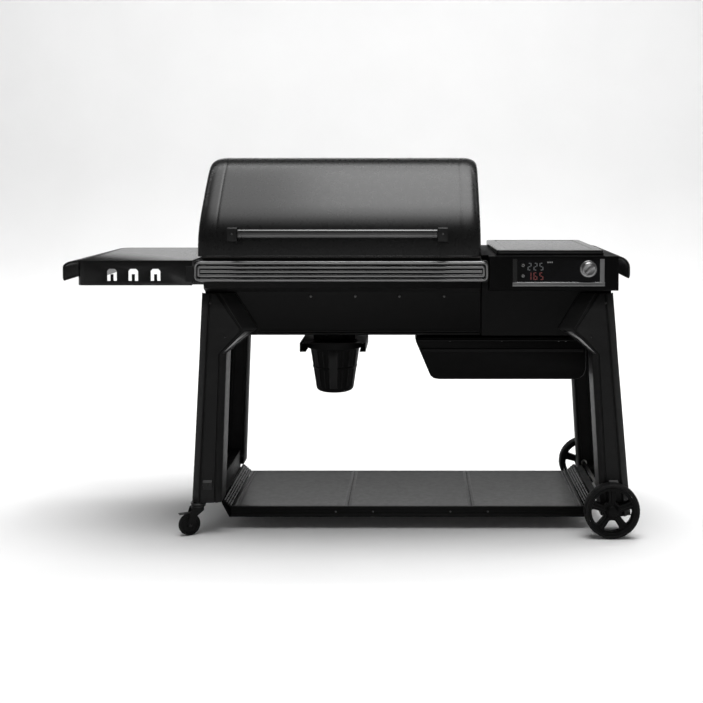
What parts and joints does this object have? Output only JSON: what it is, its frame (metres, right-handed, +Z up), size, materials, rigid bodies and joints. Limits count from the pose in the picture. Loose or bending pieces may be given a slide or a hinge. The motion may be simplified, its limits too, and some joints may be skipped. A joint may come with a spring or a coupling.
{
  "type": "pellet smoker grill",
  "caption": "Pellet-fired smoker grill: hinged hood over a cooking chamber, side hopper with controller, folding side shelf, wheeled stand with a bottom shelf.",
  "frame": {"origin": "on the floor, under the middle of the bounding box", "axes": "+X towards the hopper and the large wheels, -Y towards the front, where the hood's handle is, +Z up"},
  "size_m": [1.8228, 0.646, 1.212],
  "materials": {
    "chamber_paint": "fine-textured satin powder coat",
    "hood_paint": "satin powder coat",
    "casing_paint": "fine-textured satin powder coat",
    "leg_paint": "fine-textured satin powder coat",
    "shelf_paint": "satin powder coat",
    "rail_metal": "dark anodised",
    "bare_steel": "plain sheet",
    "enamel": "glossy porcelain enamel",
    "knob_metal": "spun",
    "black_plastic": "matt moulded",
    "panel_glass": "gloss",
    "tyre_rubber": "ribbed rubber",
    "gasket_fibre": "woven rope"
  },
  "bodies": {
    "stand": {"barrel_body": "chamber_paint", "firepot": "bare_steel", "igniter_rod": "bare_steel", "heat_baffle": "bare_steel", "drip_tray": "bare_steel", "grate_left": "enamel", "grate_right": "enamel", "upper_rack": "enamel", "temperature_probe": "bare_steel", "exhaust_duct": "chamber_paint", "hood_gasket": "gasket_fibre", "hood_hinge_rod": "bare_steel", "front_rail": "rail_metal", "hopper_casing": "casing_paint", "pellet_bin": "bare_steel", "hopper_hinge_rod": "bare_steel", "controller_housing": "casing_paint", "controller_glass": "panel_glass", "controller_board": "black_plastic", "power_inlet": "black_plastic", "auger_tube": "bare_steel", "auger_motor": "casing_paint", "fan_housing": "bare_steel", "fan_motor": "casing_paint", "underside_housing": "casing_paint", "keg_bracket": "casing_paint", "leg_front_left": "leg_paint", "leg_rear_left": "leg_paint", "leg_front_right": "leg_paint", "leg_rear_right": "leg_paint", "crossbar_left": "leg_paint", "bottom_shelf_frame": "leg_paint", "shelf_panel_left": "shelf_paint", "shelf_panel_middle": "shelf_paint", "shelf_panel_right": "shelf_paint", "wheel_axle": "bare_steel", "side_handle_right": "black_plastic", "side_shelf_hinge": "bare_steel"},
    "hood": {"hood_shell": "hood_paint", "handle_post_left": "black_plastic", "handle_post_right": "black_plastic", "hood_handle_bar": "rail_metal"},
    "hopper_lid": {"hopper_lid": "casing_paint"},
    "control_knob": {"control_knob": "knob_metal"},
    "upper_button": {"upper_button": "black_plastic"},
    "lower_button": {"lower_button": "black_plastic"},
    "cleanout_door": {"cleanout_door": "casing_paint"},
    "auger_screw": {"auger_screw": "bare_steel"},
    "fan_wheel": {"fan_wheel": "black_plastic"},
    "grease_keg": {"grease_keg": "casing_paint"},
    "front_wheel": {"wheel_front": "black_plastic", "tyre_front": "tyre_rubber"},
    "rear_wheel": {"wheel_rear": "black_plastic", "tyre_rear": "tyre_rubber"},
    "front_caster_fork": {"caster_fork_front": "leg_paint"},
    "front_caster_wheel": {"caster_wheel_front": "tyre_rubber"},
    "rear_caster_fork": {"caster_fork_rear": "leg_paint"},
    "rear_caster_wheel": {"caster_wheel_rear": "tyre_rubber"},
    "side_shelf": {"side_shelf": "casing_paint", "side_handle_left": "black_plastic"}
  },
  "joints": [
    {"name": "hood_hinge", "type": "hinge", "parent": "stand", "child": "hood", "pos_m": [-0.03435, 0.295, 0.9], "axis": [-1, 0, 0], "range_deg": [0, 72]},
    {"name": "hopper_lid_hinge", "type": "hinge", "parent": "stand", "child": "hopper_lid", "pos_m": [0.62565, 0.251, 0.906], "axis": [-1, 0, 0], "range_deg": [0, 85]},
    {"name": "knob_turn", "type": "hinge", "parent": "stand", "child": "control_knob", "pos_m": [0.74265, -0.265, 0.8586], "axis": [0, -1, 0], "continuous": true},
    {"name": "upper_button_press", "type": "slide", "parent": "stand", "child": "upper_button", "axis": [0, 1, 0], "range_m": [0, 0.0015], "stiffness_N_per_m": 600},
    {"name": "lower_button_press", "type": "slide", "parent": "stand", "child": "lower_button", "axis": [0, 1, 0], "range_m": [0, 0.0015], "stiffness_N_per_m": 600},
    {"name": "cleanout_door_hinge", "type": "hinge", "parent": "stand", "child": "cleanout_door", "pos_m": [0.55065, 0.247, 0.73], "axis": [1, 0, 0], "range_deg": [0, 100]},
    {"name": "auger_spin", "type": "hinge", "parent": "stand", "child": "auger_screw", "pos_m": [0.38265, 0.02, 0.69], "axis": [1, 0, 0], "continuous": true},
    {"name": "fan_spin", "type": "hinge", "parent": "stand", "child": "fan_wheel", "pos_m": [0.54265, 0.02, 0.545], "axis": [0, 0, 1], "continuous": true},
    {"name": "keg_slide", "type": "slide", "parent": "stand", "child": "grease_keg", "axis": [0, -1, 0], "range_m": [0, 0.15]},
    {"name": "front_wheel_spin", "type": "hinge", "parent": "stand", "child": "front_wheel", "pos_m": [0.82265, -0.263, 0.0887], "axis": [0, 1, 0], "continuous": true},
    {"name": "rear_wheel_spin", "type": "hinge", "parent": "stand", "child": "rear_wheel", "pos_m": [0.82265, 0.303, 0.0887], "axis": [0, 1, 0], "continuous": true},
    {"name": "front_caster_swivel", "type": "hinge", "parent": "stand", "child": "front_caster_fork", "pos_m": [-0.49935, -0.22, 0.1], "axis": [0, 0, 1], "continuous": true},
    {"name": "front_caster_spin", "type": "hinge", "parent": "front_caster_fork", "child": "front_caster_wheel", "pos_m": [-0.52608, -0.23362, 0.0345], "axis": [-0.454, 0.891, 0], "continuous": true},
    {"name": "rear_caster_swivel", "type": "hinge", "parent": "stand", "child": "rear_caster_fork", "pos_m": [-0.49935, 0.26, 0.1], "axis": [0, 0, 1], "continuous": true},
    {"name": "rear_caster_spin", "type": "hinge", "parent": "rear_caster_fork", "child": "rear_caster_wheel", "pos_m": [-0.52608, 0.24638, 0.0345], "axis": [-0.454, 0.891, 0], "continuous": true},
    {"name": "side_shelf_fold", "type": "hinge", "parent": "stand", "child": "side_shelf", "pos_m": [-0.50935, 0.02, 0.815], "axis": [0, -1, 0], "range_deg": [0, 90]}
  ]
}
